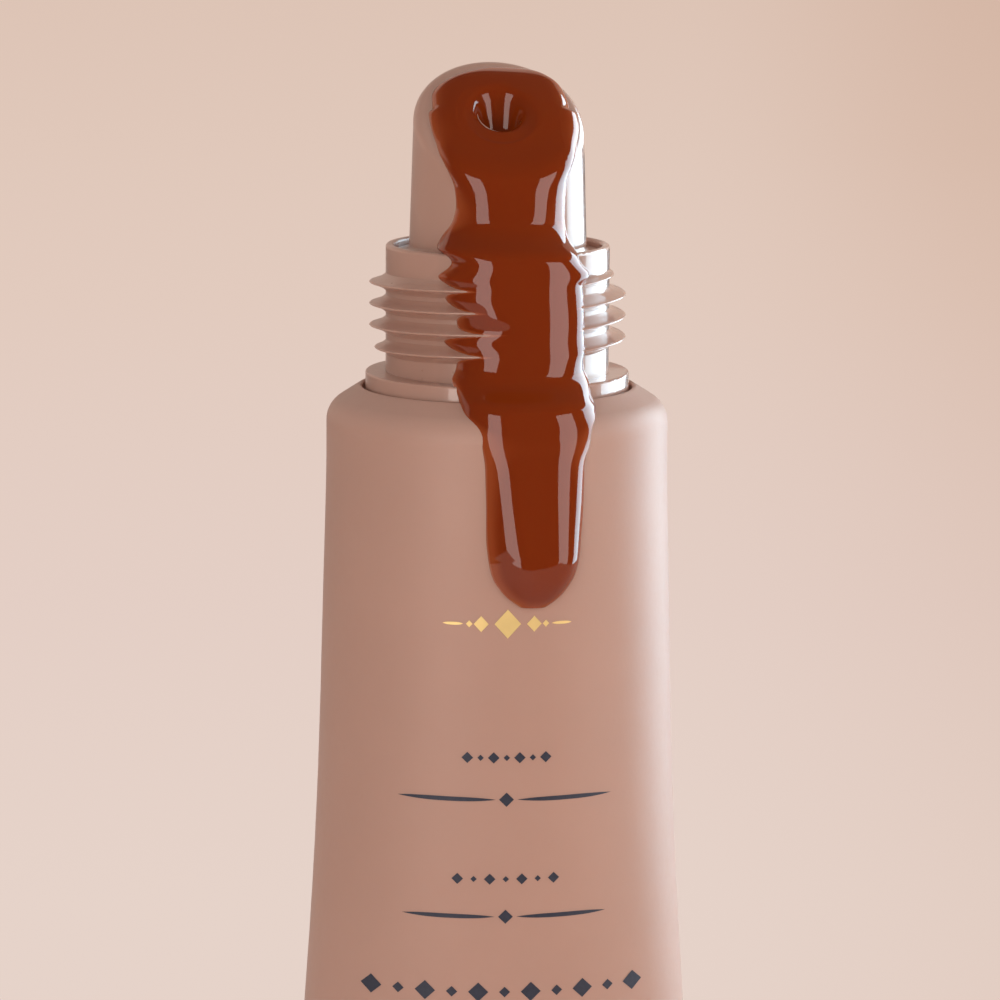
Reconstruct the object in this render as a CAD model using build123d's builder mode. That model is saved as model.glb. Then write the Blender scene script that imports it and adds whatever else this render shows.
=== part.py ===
from build123d import *
from math import cos, log, pi, radians, sin, sqrt, tan
import os

# Lip gloss tube, uncapped: a soft sleeve crimped flat at its far end, a moulded head with its neck, a slanted
# applicator pressed into the neck, and the gloss inside and on the outside.
# Millimetres. +Z is up, the tip is up, the slanted face looks towards -Y and the crimp is wide along X.
# The origin is the middle of the crimped end.

# ---- driving dimensions ----------------------------------------------------------------------------

# sleeve
tube_diameter = 19.0
sleeve_length = 70.0
sleeve_wall = 0.45
seal_height = 5.0
seal_corner = 0.6
seal_core = 0.06  # half height of the crease where the front and back walls meet
shoulder_angle = 32.5  # slope of the shoulder below the horizontal
shoulder_round = 1.5
shoulder_straight = 0.8  # length of round sleeve below the head's skirt
mouth_radius = 7.5
mouth_round = 0.15

# side profile of the filled sleeve: share of the flattening length, share of the tube radius
flank = [(0.0, 1.0), (0.12, 0.98), (0.28, 0.95), (0.48, 0.873), (0.66, 0.765), (0.8, 0.6), (0.9, 0.35)]

# head
ring_gap = 0.17  # between the sleeve's mouth and the ring at the foot of the neck
ring_height = 0.68
ring_round = 0.12
neck_radius = 6.21
neck_height = 7.75  # from the sleeve's mouth to the rim
thread_height = 0.95  # room round the neck for the cap's thread, which the gloss lies over
rim_lip = 0.46
rim_round = 0.19
recess_depth = 0.4
bore_radius = 4.3
head_wall = 0.9
skirt_length = 2.2
weld_gap = 0.02

# applicator
flange_thickness = 0.8
flange_gap = 0.04
plug_length = 4.2
plug_gap = 0.03
nozzle_ledge = 0.78  # width of the flange's rim round the nozzle's foot
nozzle_draft = 1.8
nozzle_fillet = 0.38
nozzle_wall = 1.1
face_height = 7.65  # middle of the slanted face above the rim
face_angle = 33.0
face_turn = 4.0
face_dome_radius = 30.0
face_edge_round = 0.7
face_wall = 1.3
cavity_draft = 0.15
orifice_radius = 1.25
orifice_forward = 0.6

# gloss inside
fill_gap = 0.05
crease_gap = 0.2  # from the gloss to the crease of the crimp
crease_inset = 1.35  # from the gloss to the two ends of the crease

# gloss on the slanted face, with a dimple over the orifice
pool_half_width = 4.0
pool_half_length = 4.6
pool_forward = 1.0
pool_thickness = 0.7
dimple_radius = 1.9
dimple_depth = 1.1

# pool's outline from the root up: share of the thickness, share of the half width and half length
pool_levels = [(-1.5, 1.0), (0.0, 1.0), (0.6, 0.9), (1.0, 0.62)]

# gloss that has run down the front
run_half_width = 3.7
run_thickness = 1.15
run_side = 1.43  # how far to the right the middle of the run drifts
run_reach = 10.95  # from the sleeve's mouth down to the end of the run
run_root = 3.0  # how deep the run's sections go under the surface it lies on

# sections of the run, top to bottom: share of the height of what it lies on, then shares of run_side,
# run_half_width and run_thickness
run_on_nozzle = [(0.63, 0.25, 1.01, 0.52), (0.4, 0.3, 0.82, 0.78), (0.15, 0.15, 0.89, 1.1)]
run_on_rim = [(1.03, 0.14, 1.01, 0.3), (0.93, 0.35, 1.04, 0.74)]
run_on_thread = [(0.75, 0.59, 0.93, 0.96), (0.28, 0.65, 0.95, 1.0)]
run_on_ring = [(0.13, 0.7, 1.0, 0.57), (0.013, 0.84, 1.0, 0.87)]
run_on_shoulder = [(0.064, 0.98, 0.92, 0.74)]
run_on_sleeve = [
    (0.15, 1.05, 0.82, 0.7),
    (0.4, 1.0, 0.73, 0.85),
    (0.81, 0.97, 0.64, 1.13),
    (0.93, 0.97, 0.44, 0.85),
    (1.0, 0.97, 0.14, 0.09),
]

# ---- worked out from them --------------------------------------------------------------------------

tube_radius = tube_diameter / 2
quarter_girth = pi * tube_radius / 2
mouth_z = sleeve_length
rim_z = mouth_z + neck_height
seal_half_depth = sleeve_wall + seal_core
shoulder_slope = tan(radians(shoulder_angle))
corner_z = mouth_z - (tube_radius - mouth_radius) * shoulder_slope
round_end = corner_z - skirt_length - shoulder_straight
flatten_length = round_end - seal_height

ring_radius = mouth_radius - ring_gap
ring_top = mouth_z + ring_height
flange_radius = neck_radius - rim_lip - flange_gap
flange_top = rim_z - recess_depth
flange_bottom = flange_top - flange_thickness

# The girth of the sleeve never changes: this power makes an ellipse of given depth as wide as that needs.
girth_power = log(2) / log(pi / 2)


def half_width(half_depth):
    return (quarter_girth**girth_power - half_depth**girth_power) ** (1 / girth_power)


# heights and half depths of the sleeve's outer sections, from the shoulder down to the crimp
sleeve_sections = []
for share, depth in flank:
    sleeve_sections.append((round_end - share * flatten_length, depth * tube_radius))
sleeve_sections.append((seal_height, seal_half_depth))


def shoulder_line(inset):
    """The shoulder's cone moved inwards by inset: its apex on the axis, its radius and height at the corner."""
    apex = mouth_z + mouth_radius * shoulder_slope - inset / cos(radians(shoulder_angle))
    side = tube_radius - inset
    return apex, side, apex - side * shoulder_slope


# ---- sleeve ----------------------------------------------------------------------------------------

# outer form: shoulder and round stretch, flattening stretch, crimp
with BuildPart() as sleeve_form:
    with BuildSketch(Plane.XZ) as shoulder_outside:
        with BuildLine():
            Polyline(
                (0, mouth_z),
                (mouth_radius, mouth_z),
                (tube_radius, corner_z),
                (tube_radius, round_end),
                (0, round_end),
                close=True,
            )
        make_face()
        fillet(shoulder_outside.vertices().group_by(Axis.X)[-1].sort_by(Axis.Y)[-1], shoulder_round)
    revolve(axis=Axis.Z)
    for height, half_depth in sleeve_sections:
        with BuildSketch(Plane.XY.offset(height)):
            Ellipse(half_width(half_depth), half_depth)
    loft()
    with BuildSketch():
        Rectangle(2 * quarter_girth, 2 * seal_half_depth)
    extrude(amount=seal_height)
    fillet(sleeve_form.edges().filter_by(Axis.Y).group_by(Axis.Z)[0], seal_corner)

with BuildPart() as tube_sleeve:
    add(sleeve_form.part)

    # inside
    apex, side, corner = shoulder_line(sleeve_wall)
    with BuildSketch(Plane.XZ) as shoulder_inside:
        with BuildLine():
            Polyline((0, apex), (side, corner), (side, round_end), (0, round_end), close=True)
        make_face()
        inside_corner = shoulder_inside.vertices().group_by(Axis.X)[-1].sort_by(Axis.Y)[-1]
        fillet(inside_corner, shoulder_round - sleeve_wall)
    revolve(axis=Axis.Z, mode=Mode.SUBTRACT)
    for height, half_depth in sleeve_sections:
        with BuildSketch(Plane.XY.offset(height)):
            Ellipse(half_width(half_depth) - sleeve_wall, half_depth - sleeve_wall)
    loft(mode=Mode.SUBTRACT)

    # mouth
    with BuildSketch(Plane.XY.offset(corner_z)):
        Circle(mouth_radius)
    extrude(amount=mouth_z - corner_z, mode=Mode.SUBTRACT)
    fillet(tube_sleeve.edges().filter_by(GeomType.CIRCLE).group_by(Axis.Z)[-1], mouth_round)

tube_sleeve.part.label = "tube_sleeve"

# ---- head ------------------------------------------------------------------------------------------

# shoulder plate and skirt under the sleeve, ring, neck with the applicator's recess, and the bore
apex, side, corner = shoulder_line(sleeve_wall + weld_gap)
low_apex, low_side, low_corner = shoulder_line(sleeve_wall + weld_gap + head_wall)
ring_foot = apex - ring_radius * shoulder_slope
skirt_end = corner - skirt_length
plate_radius = bore_radius + head_wall
with BuildPart() as tube_head:
    with BuildSketch(Plane.XZ) as head_profile:
        with BuildLine():
            Polyline(
                (bore_radius, flange_bottom),
                (neck_radius - rim_lip, flange_bottom),
                (neck_radius - rim_lip, rim_z),
                (neck_radius, rim_z),
                (neck_radius, ring_top),
                (ring_radius, ring_top),
                (ring_radius, ring_foot),
                (side, corner),
                (side, skirt_end),
                (low_side, skirt_end),
                (low_side, low_corner),
                (plate_radius, low_apex - plate_radius * shoulder_slope),
                (bore_radius, low_apex - plate_radius * shoulder_slope),
                close=True,
            )
        make_face()
        outer_corner = head_profile.vertices().group_by(Axis.X)[-1].sort_by(Axis.Y)[-1]
        fillet(outer_corner, shoulder_round - sleeve_wall - weld_gap)
    revolve(axis=Axis.Z)
    ring_edges = tube_head.edges().filter_by(GeomType.CIRCLE).group_by(Axis.Z)[-3]
    fillet(ring_edges.sort_by(SortBy.RADIUS)[-1], ring_round)
    fillet(tube_head.edges().filter_by(GeomType.CIRCLE).group_by(Axis.Z)[-1], rim_round)

tube_head.part.label = "tube_head"

# ---- applicator ------------------------------------------------------------------------------------

# plane of the slanted face: its normal leans from +Z towards the front
lean = radians(face_angle)
turn = radians(face_turn)
face_z = rim_z + face_height
forward = Vector(sin(turn), -cos(turn), 0)
face_normal = forward * sin(lean) + Vector(0, 0, cos(lean))
face_plane = Plane(origin=(0, 0, face_z), x_dir=(cos(turn), sin(turn), 0), z_dir=face_normal)

# nozzle blank, tall enough for the face to cut it all round
nozzle_base_radius = flange_radius - nozzle_ledge
blank_height = face_height + recess_depth + 2 * nozzle_base_radius * tan(lean)
blank_top_radius = nozzle_base_radius - blank_height * tan(radians(nozzle_draft))

plug_radius = bore_radius - plug_gap
plug_end = flange_bottom - plug_length
cavity_radius = plug_radius - nozzle_wall
cavity_top_radius = cavity_radius - cavity_draft
cavity_shoulder = face_z - cavity_top_radius * tan(lean) - face_wall / cos(lean)
cavity_top = cavity_shoulder + cavity_top_radius - orifice_radius


def cavity_line(inset):
    """Half section of the applicator's hollow, moved inwards by inset."""
    return [
        (0, plug_end),
        (cavity_radius - inset, plug_end),
        (cavity_top_radius - inset, cavity_shoulder),
        (orifice_radius - inset, cavity_top),
        (0, cavity_top),
    ]


# outer form: the nozzle, cut by the domed face, on its flange
with BuildPart() as nozzle_form:
    with BuildSketch(Plane.XZ):
        with BuildLine():
            Polyline(
                (0, flange_top),
                (nozzle_base_radius, flange_top),
                (blank_top_radius, flange_top + blank_height),
                (0, flange_top + blank_height),
                close=True,
            )
        make_face()
    revolve(axis=Axis.Z)
    with Locations(face_plane.origin - face_normal * face_dome_radius):
        Sphere(face_dome_radius, mode=Mode.INTERSECT)
    fillet(nozzle_form.edges().sort_by(Axis.Z)[-1], face_edge_round)
    with BuildSketch(Plane.XY.offset(flange_bottom)):
        Circle(flange_radius)
    extrude(amount=flange_thickness)
    foot_edges = nozzle_form.edges().filter_by(GeomType.CIRCLE).group_by(Axis.Z)[1]
    fillet(foot_edges.sort_by(SortBy.RADIUS)[0], min(nozzle_fillet, nozzle_ledge / 2))

with BuildPart() as applicator_tip:
    add(nozzle_form.part)
    with BuildSketch(Plane.XY.offset(plug_end)):
        Circle(plug_radius)
    extrude(amount=plug_length)

    # hollow and orifice
    with BuildSketch(Plane.XZ):
        with BuildLine():
            Polyline(cavity_line(0), close=True)
        make_face()
    revolve(axis=Axis.Z, mode=Mode.SUBTRACT)
    with BuildSketch(Plane.XY.offset(cavity_shoulder)):
        with Locations(forward * orifice_forward):
            Circle(orifice_radius)
    extrude(amount=2 * face_height, mode=Mode.SUBTRACT)

applicator_tip.part.label = "applicator_tip"

# ---- gloss inside ----------------------------------------------------------------------------------

orifice_z = face_z - orifice_forward * tan(lean)
dimple_rise = pool_thickness - dimple_depth + dimple_radius
dimple_centre = forward * orifice_forward + Vector(0, 0, orifice_z) + face_normal * dimple_rise
with BuildPart() as gloss_fill:
    # in the flattening stretch of the sleeve
    for height, half_depth in sleeve_sections[:-1]:
        with BuildSketch(Plane.XY.offset(height)):
            inset = sleeve_wall + fill_gap
            Ellipse(half_width(half_depth) - inset, half_depth - inset)
    with BuildSketch(Plane.XY.offset(seal_height + crease_gap)):
        Ellipse(quarter_girth - crease_inset, seal_core / 2)
    loft()

    # in the round stretch, under the head and in its bore
    wall_side = tube_radius - sleeve_wall - fill_gap
    apex, side, corner = shoulder_line(sleeve_wall + weld_gap + head_wall + fill_gap)
    with BuildSketch(Plane.XZ):
        with BuildLine():
            Polyline(
                (0, round_end),
                (wall_side, round_end),
                (wall_side, skirt_end - fill_gap),
                (side, skirt_end - fill_gap),
                (side, corner),
                (plate_radius, apex - plate_radius * shoulder_slope),
                (bore_radius - fill_gap, apex - plate_radius * shoulder_slope),
                (bore_radius - fill_gap, plug_end - fill_gap),
                (0, plug_end - fill_gap),
                close=True,
            )
        make_face()
    revolve(axis=Axis.Z)

    # in the applicator, up to the orifice
    with BuildSketch(Plane.XZ):
        with BuildLine():
            Polyline(cavity_line(fill_gap), close=True)
        make_face()
    revolve(axis=Axis.Z)
    with BuildSketch(Plane.XY.offset(plug_end - fill_gap)):
        Circle(cavity_top_radius)
    extrude(amount=2 * fill_gap)
    with BuildSketch(Plane.XY.offset(cavity_shoulder)):
        with Locations(forward * orifice_forward):
            Circle(orifice_radius - fill_gap)
    extrude(amount=face_height)
    split(bisect_by=face_plane.offset(-fill_gap), keep=Keep.BOTTOM)
    with Locations(dimple_centre):
        Sphere(dimple_radius, mode=Mode.SUBTRACT)

gloss_fill.part.label = "gloss_fill"

# ---- gloss outside ---------------------------------------------------------------------------------

# outer form of the head, with the recess filled up to the flange's top
with BuildPart() as head_form:
    with BuildSketch(Plane.XZ):
        with BuildLine():
            Polyline(
                (0, ring_foot),
                (ring_radius, ring_foot),
                (ring_radius, ring_top),
                (neck_radius, ring_top),
                (neck_radius, rim_z),
                (neck_radius - rim_lip, rim_z),
                (neck_radius - rim_lip, flange_top),
                (0, flange_top),
                close=True,
            )
        make_face()
    revolve(axis=Axis.Z)

# what the run lies on: where its heights count from, how high it is, its radius, and the run's sections there
run_stretches = [
    (rim_z, face_height, nozzle_base_radius, run_on_nozzle),
    (mouth_z, neck_height, neck_radius, run_on_rim),
    (mouth_z, neck_height, neck_radius + thread_height, run_on_thread),
    (mouth_z, neck_height, ring_radius, run_on_ring),
    (mouth_z, -run_reach, (mouth_radius + tube_radius) / 2, run_on_shoulder),
    (mouth_z, -run_reach, tube_radius, run_on_sleeve),
]
with BuildPart() as gloss_run:
    for start_z, reach, radius, sections in run_stretches:
        for share, side_share, width_share, thickness_share in sections:
            half = width_share * run_half_width
            root = radius - run_root
            depth = run_root + thickness_share * run_thickness
            # share of the ellipse's depth at which it meets the surface, where it is as wide as the run
            edge = (sqrt(radius**2 - half**2) - root) / depth
            with BuildSketch(Plane.XY.offset(start_z + share * reach)):
                with Locations((side_share * run_side, -root)):
                    Ellipse(half / sqrt(1 - edge**2), depth)
    loft(ruled=True)
    for level, share in pool_levels:
        with BuildSketch(face_plane.offset(level * pool_thickness)):
            with Locations((0, -pool_forward)):
                Ellipse(pool_half_width * share, pool_half_length * share)
    loft()
    for form in (nozzle_form, head_form, sleeve_form):
        add(form.part, mode=Mode.SUBTRACT)
    with Locations(dimple_centre):
        Sphere(dimple_radius, mode=Mode.SUBTRACT)

gloss_run.part.label = "gloss_run"

os.makedirs("parts", exist_ok=True)
for piece in (tube_sleeve, tube_head, applicator_tip, gloss_fill, gloss_run):
    export_step(piece.part, f"parts/{piece.part.label}.step")
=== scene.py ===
from math import cos, pi, radians, sin, tan

import bmesh
import bpy
import numpy as np
from bpy.props import FloatProperty, FloatVectorProperty, IntProperty, PointerProperty
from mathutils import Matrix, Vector
from mathutils.bvhtree import BVHTree


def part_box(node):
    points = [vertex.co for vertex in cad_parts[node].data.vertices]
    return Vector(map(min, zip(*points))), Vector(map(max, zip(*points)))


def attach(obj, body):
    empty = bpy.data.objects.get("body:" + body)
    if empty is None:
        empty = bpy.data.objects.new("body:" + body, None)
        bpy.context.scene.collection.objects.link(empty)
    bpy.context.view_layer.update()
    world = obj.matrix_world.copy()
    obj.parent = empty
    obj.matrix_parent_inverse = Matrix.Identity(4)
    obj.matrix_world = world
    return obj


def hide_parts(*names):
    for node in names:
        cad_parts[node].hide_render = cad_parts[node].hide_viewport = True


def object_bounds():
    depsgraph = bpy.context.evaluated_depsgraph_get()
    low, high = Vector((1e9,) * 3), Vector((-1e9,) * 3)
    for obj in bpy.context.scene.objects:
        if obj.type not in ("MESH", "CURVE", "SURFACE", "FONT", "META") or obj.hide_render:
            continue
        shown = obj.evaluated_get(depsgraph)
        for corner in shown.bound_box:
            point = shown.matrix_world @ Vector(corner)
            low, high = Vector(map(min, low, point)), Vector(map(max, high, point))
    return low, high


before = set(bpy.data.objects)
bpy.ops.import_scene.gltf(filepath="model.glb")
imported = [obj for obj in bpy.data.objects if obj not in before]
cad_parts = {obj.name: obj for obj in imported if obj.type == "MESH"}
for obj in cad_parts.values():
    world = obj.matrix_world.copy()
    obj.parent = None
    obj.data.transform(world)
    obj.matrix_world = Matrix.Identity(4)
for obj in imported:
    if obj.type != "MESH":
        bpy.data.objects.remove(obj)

bl_info = {
    "name": "Lip Gloss Tube",
    "version": (1, 0, 0),
    "blender": (4, 5, 0),
    "location": "3D View > Sidebar > Gloss Tube",
    "description": "Dresses the solids of an uncapped lip gloss tube: thread, print, gloss, finishes, studio",
    "category": "Object",
}

MM = 0.001
CAD_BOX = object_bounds()
SLEEVE_LOW, SLEEVE_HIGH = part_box("tube_sleeve")
HEAD_LOW, HEAD_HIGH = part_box("tube_head")
MOUTH = SLEEVE_HIGH.z  # height of the sleeve's mouth
RIM = HEAD_HIGH.z  # height of the neck's rim


# ---- settings --------------------------------------------------------------------------------------


def length_setting(name, description, default):
    return FloatProperty(name=name, description=description, default=default, unit="LENGTH")


def angle_setting(name, description, default):
    return FloatProperty(name=name, description=description, default=default, unit="ROTATION")


def color_setting(name, description, default):
    return FloatVectorProperty(name=name, description=description, default=default, subtype="COLOR", size=3)


class NeckThreadSettings(bpy.types.PropertyGroup):
    core: length_setting("Core Radius", "Radius of the neck under the thread", 6.21 * MM)
    height: length_setting("Thread Height", "How far the crest stands off the neck", 0.95 * MM)
    pitch: length_setting("Pitch", "Rise in one turn", 1.195 * MM)
    base: length_setting("Base", "Width of the thread at its foot", 1.06 * MM)
    start: length_setting("Start Height", "Height of its beginning above the mouth", 1.97 * MM)
    start_angle: angle_setting("Start Angle", "Where the thread begins", radians(118))
    sweep: angle_setting("Sweep", "Angle it runs round", radians(1340))
    fade: angle_setting("Fade", "Angle over which each end fades", radians(90))


class CrimpSettings(bpy.types.PropertyGroup):
    ribs: IntProperty(name="Ribs", description="Pressed ribs on each face of the crimp", default=52, min=2)
    rib_height: length_setting("Rib Height", "How far a rib stands off the crimp", 0.07 * MM)
    border: length_setting("Border", "Plain border round the ribs", 0.5 * MM)


class PrintSettings(bpy.types.PropertyGroup):
    foil_height: length_setting("Foil Height", "Middle of the foil ornament below the mouth", 11.8 * MM)
    foil_width: length_setting("Foil Width", "Width of the ornament", 7.0 * MM)
    foil_size: length_setting("Foil Size", "Height of the ornament", 1.6 * MM)
    foil_color: color_setting("Foil Colour", "Colour of the foil", (1.0, 0.74, 0.3))
    ink_color: color_setting("Ink Colour", "Colour of the ink", (0.018, 0.022, 0.04))


class GlossSettings(bpy.types.PropertyGroup):
    deep_color: color_setting("Deep Colour", "Where the gloss is thick", (0.2, 0.026, 0.003))
    thin_color: color_setting("Thin Colour", "Where the gloss is thin", (0.31, 0.062, 0.016))
    edge_color: color_setting("Edge Colour", "Where the gloss thins out to nothing", (0.38, 0.14, 0.08))
    across: IntProperty(name="Points Across", description="Mesh points across the run", default=200, min=16)
    along: IntProperty(name="Points Along", description="Mesh points along the run", default=430, min=16)


class PlasticSettings(bpy.types.PropertyGroup):
    sleeve_color: color_setting("Sleeve Colour", "Soft plastic of the sleeve", (0.485, 0.286, 0.222))
    head_color: color_setting("Head Colour", "Moulded plastic of head and applicator", (0.465, 0.275, 0.213))


class StudioSettings(bpy.types.PropertyGroup):
    focal_length: FloatProperty(name="Focal Length", description="Lens of the camera, in mm", default=172.1)
    camera_place: FloatVectorProperty(
        name="Camera Place",
        description="Where the camera stands",
        default=(-0.01844, -0.26276, 0.10743),
        subtype="TRANSLATION",
        size=3,
    )
    camera_turn: FloatVectorProperty(
        name="Camera Turn",
        description="How the camera is turned",
        default=(radians(80.4975), radians(-0.3045), radians(-4.0055)),
        subtype="EULER",
        size=3,
    )
    backdrop_color: color_setting("Backdrop Colour", "Backdrop near the floor", (0.79, 0.65, 0.585))


# ---- small helpers ---------------------------------------------------------------------------------


def link_mesh(name, points, faces, material, smooth=True):
    """A new mesh object at the origin."""
    mesh = bpy.data.meshes.new(name)
    mesh.from_pydata([tuple(p) for p in points], [], faces)
    mesh.validate()
    mesh.shade_smooth() if smooth else mesh.shade_flat()
    mesh.materials.append(material)
    made = bpy.data.objects.new(name, mesh)
    bpy.context.scene.collection.objects.link(made)
    return made


def grid_faces(rows, columns, round_columns=False):
    """Quads of a grid of points, row by row. round_columns joins each row's last point to its first."""
    faces = []
    for row in range(rows - 1):
        here, above = row * columns, (row + 1) * columns
        for column in range(columns if round_columns else columns - 1):
            after = (column + 1) % columns
            faces.append((here + column, here + after, above + after, above + column))
    return faces


def smooth_curve(stations, at):
    """Values between stations, each (place, value), on a curve that doesn't overshoot them."""
    places = np.array([s[0] for s in stations], float)
    values = np.array([s[1] for s in stations], float)
    steps = np.diff(places)
    slopes = np.diff(values) / steps
    tangents = np.zeros(len(places))
    same_way = slopes[:-1] * slopes[1:] > 0
    total = steps[:-1] + steps[1:]
    weight_before = steps[1:] + total
    weight_after = steps[:-1] + total
    with np.errstate(divide="ignore", invalid="ignore"):
        mean = (weight_before + weight_after) / (weight_before / slopes[:-1] + weight_after / slopes[1:])
    tangents[1:-1] = np.where(same_way, mean, 0)
    tangents[0], tangents[-1] = slopes[0], slopes[-1]
    index = np.clip(np.searchsorted(places, at) - 1, 0, len(steps) - 1)
    step = steps[index]
    t = (at - places[index]) / step
    return (
        values[index] * (1 + 2 * t) * (1 - t) ** 2
        + tangents[index] * step * t * (1 - t) ** 2
        + values[index + 1] * t**2 * (3 - 2 * t)
        + tangents[index + 1] * step * t**2 * (t - 1)
    )


# ---- finishes --------------------------------------------------------------------------------------


def new_finish(name):
    """A material with one Principled shader; returns it with its node tree and shader."""
    material = bpy.data.materials.new(name)
    material.use_nodes = True
    return material, material.node_tree, material.node_tree.nodes["Principled BSDF"]


def add_node(tree, kind, **values):
    """A node with its properties, or its inputs by name, set."""
    node = tree.nodes.new(kind)
    for key, value in values.items():
        if hasattr(node, key):
            setattr(node, key, value)
        else:
            node.inputs[key.replace("_", " ")].default_value = value
    return node


def noise_on_object(tree, scale, detail=3.0):
    place = add_node(tree, "ShaderNodeTexCoord")
    noise = add_node(tree, "ShaderNodeTexNoise", Scale=scale, Detail=detail)
    tree.links.new(place.outputs["Object"], noise.inputs["Vector"])
    return noise.outputs["Fac"]


def ranged(tree, value, low, high):
    """value from 0 to 1 spread over low to high."""
    spread = add_node(tree, "ShaderNodeMapRange")
    spread.inputs["To Min"].default_value = low
    spread.inputs["To Max"].default_value = high
    tree.links.new(value, spread.inputs["Value"])
    return spread.outputs["Result"]


def color_sockets(sockets):
    """A mix node's colour sockets, which share their names with its other kinds."""
    return [socket for socket in sockets if socket.type == "RGBA"]


def two_colors(tree, share, first, second):
    """first where share is 0 and second where it is 1."""
    mix = add_node(tree, "ShaderNodeMix", data_type="RGBA")
    sockets = color_sockets(mix.inputs)
    sockets[0].default_value = (*first, 1)
    sockets[1].default_value = (*second, 1)
    tree.links.new(share, mix.inputs["Factor"])
    return color_sockets(mix.outputs)[0]


def soft_plastic(name, color, roughness, grain):
    """Satin polyethylene: faint clouding, a soft grain in the highlight and a little light let in."""
    material, tree, shader = new_finish(name)
    paler = tuple(min(1.0, c * 1.05) for c in color)
    darker = tuple(c * 0.95 for c in color)
    cloud = noise_on_object(tree, 160.0)
    tree.links.new(two_colors(tree, cloud, darker, paler), shader.inputs["Base Color"])
    fine = noise_on_object(tree, 2600.0, 2.0)
    tree.links.new(ranged(tree, fine, roughness - 0.05, roughness + 0.05), shader.inputs["Roughness"])
    bump = add_node(tree, "ShaderNodeBump", Strength=grain)
    bump.inputs["Distance"].default_value = 0.02 * MM
    tree.links.new(noise_on_object(tree, 3200.0, 2.0), bump.inputs["Height"])
    tree.links.new(bump.outputs["Normal"], shader.inputs["Normal"])
    shader.inputs["IOR"].default_value = 1.5
    shader.inputs["Subsurface Weight"].default_value = 0.12
    shader.inputs["Subsurface Radius"].default_value = (1.0, 0.5, 0.35)
    shader.inputs["Subsurface Scale"].default_value = 0.8 * MM
    return material


FILM_LEFT = -3.8 * MM  # the wet film's left edge below the rim
FILM_EDGE = 0.4 * MM  # width over which it starts
FILM_ASIDE = 7.1 * MM  # how much further to the right it starts above the rim
FILM_FRONT = -0.5 * MM  # it is whole in front of this
FILM_BACK = 1.5 * MM  # and gone behind this


def wet_film(tree, shader):
    """A clear wet film on the plastic beside the run: to its right, and to its left below the neck's rim."""
    place = add_node(tree, "ShaderNodeTexCoord")
    parts = add_node(tree, "ShaderNodeSeparateXYZ")
    tree.links.new(place.outputs["Object"], parts.inputs[0])
    above = add_node(tree, "ShaderNodeMath", operation="GREATER_THAN")
    tree.links.new(parts.outputs["Z"], above.inputs[0])
    above.inputs[1].default_value = RIM
    aside = add_node(tree, "ShaderNodeMath", operation="MULTIPLY_ADD")
    tree.links.new(above.outputs[0], aside.inputs[0])
    aside.inputs[1].default_value = -FILM_ASIDE
    tree.links.new(parts.outputs["X"], aside.inputs[2])
    edge = add_node(tree, "ShaderNodeMapRange", interpolation_type="SMOOTHSTEP")
    edge.inputs["From Min"].default_value = FILM_LEFT
    edge.inputs["From Max"].default_value = FILM_LEFT + FILM_EDGE
    tree.links.new(aside.outputs[0], edge.inputs["Value"])
    front = add_node(tree, "ShaderNodeMapRange", interpolation_type="SMOOTHSTEP")
    front.inputs["From Min"].default_value = FILM_BACK
    front.inputs["From Max"].default_value = FILM_FRONT
    tree.links.new(parts.outputs["Y"], front.inputs["Value"])
    both = add_node(tree, "ShaderNodeMath", operation="MULTIPLY")
    tree.links.new(edge.outputs["Result"], both.inputs[0])
    tree.links.new(front.outputs["Result"], both.inputs[1])
    tree.links.new(both.outputs[0], shader.inputs["Coat Weight"])
    shader.inputs["Coat Roughness"].default_value = 0.04
    shader.inputs["Coat IOR"].default_value = 1.48


DEEP_FROM = 0.6  # depth of gloss, in millimetres, from which it shows its deep colour
THIN_AT = 0.13  # and at which it shows its thin colour


def wet_gloss(settings):
    """Thick tinted gloss: deep where it is thick, orange where it thins out, mirror smooth on top."""
    material, tree, shader = new_finish("wet_gloss")
    depth = add_node(tree, "ShaderNodeAttribute", attribute_name="gloss_depth")
    ramp = add_node(tree, "ShaderNodeValToRGB")
    ramp.color_ramp.interpolation = "EASE"
    ramp.color_ramp.elements[0].color = (*settings.edge_color, 1)
    ramp.color_ramp.elements[1].color = (*settings.deep_color, 1)
    ramp.color_ramp.elements[1].position = DEEP_FROM
    thin = ramp.color_ramp.elements.new(THIN_AT)
    thin.color = (*settings.thin_color, 1)
    tree.links.new(depth.outputs["Fac"], ramp.inputs["Fac"])
    tree.links.new(ramp.outputs["Color"], shader.inputs["Base Color"])
    film = noise_on_object(tree, 900.0)
    tree.links.new(ranged(tree, film, 0.02, 0.05), shader.inputs["Roughness"])
    shader.inputs["IOR"].default_value = 1.48
    shader.inputs["Subsurface Weight"].default_value = 0.25
    shader.inputs["Subsurface Radius"].default_value = (1.0, 0.25, 0.08)
    shader.inputs["Subsurface Scale"].default_value = 0.5 * MM
    return material


def foil(settings):
    material, tree, shader = new_finish("gold_foil")
    darker = tuple(0.9 * c for c in settings.foil_color)
    tone = two_colors(tree, noise_on_object(tree, 1500.0), darker, settings.foil_color)
    tree.links.new(tone, shader.inputs["Base Color"])
    tree.links.new(ranged(tree, noise_on_object(tree, 4000.0), 0.3, 0.5), shader.inputs["Roughness"])
    shader.inputs["Metallic"].default_value = 0.3
    return material


def ink(settings):
    material, tree, shader = new_finish("navy_ink")
    paler = tuple(1.5 * c + 0.01 for c in settings.ink_color)
    tone = two_colors(tree, noise_on_object(tree, 5000.0), settings.ink_color, paler)
    tree.links.new(tone, shader.inputs["Base Color"])
    tree.links.new(ranged(tree, noise_on_object(tree, 3000.0), 0.4, 0.6), shader.inputs["Roughness"])
    return material


# ---- geometry node helpers ---------------------------------------------------------------------------


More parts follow.
